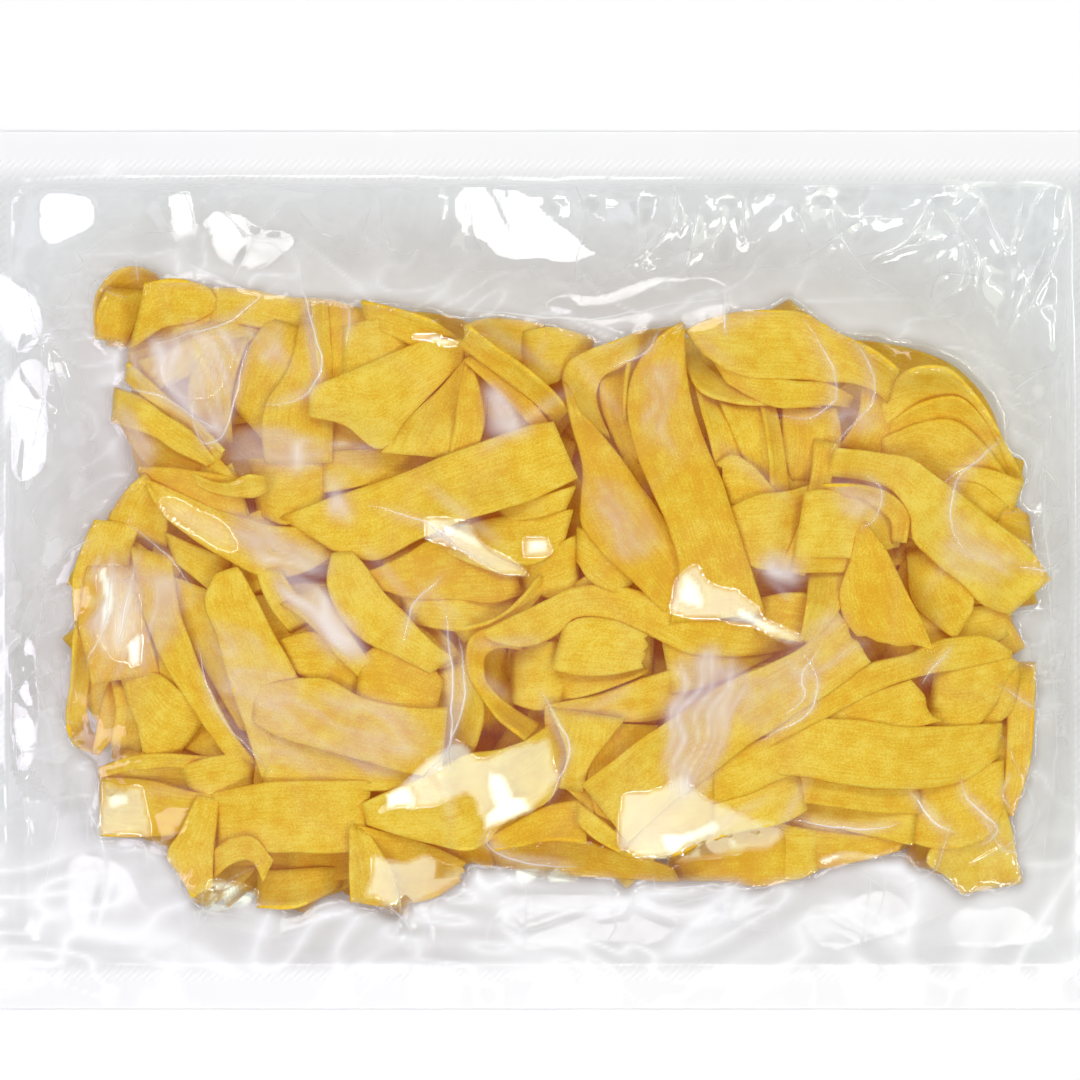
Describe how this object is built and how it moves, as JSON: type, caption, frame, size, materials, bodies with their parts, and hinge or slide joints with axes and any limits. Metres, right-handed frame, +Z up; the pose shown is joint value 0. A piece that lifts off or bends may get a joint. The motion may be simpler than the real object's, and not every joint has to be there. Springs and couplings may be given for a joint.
{
  "type": "sealed clear bag of ribbon pasta nests",
  "caption": "Flat clear film bag heat sealed on all four sides round a heap of nests of wide egg ribbon pasta, domed on top and flat below.",
  "frame": {"origin": "middle of the flat base, on the surface that the bag lies on", "axes": "+X along the bag's length, +Y across it to the far seal, +Z up through the domed face"},
  "size_m": [0.254, 0.192, 0.0324],
  "materials": {
    "egg_pasta": "dry matte egg dough, golden yellow, faint streaks along each ribbon",
    "clear_film": "thin clear glossy heat sealed film with sharp creases"
  },
  "bodies": {
    "root": {"sealed_pack": "egg_pasta"}
  },
  "joints": []
}
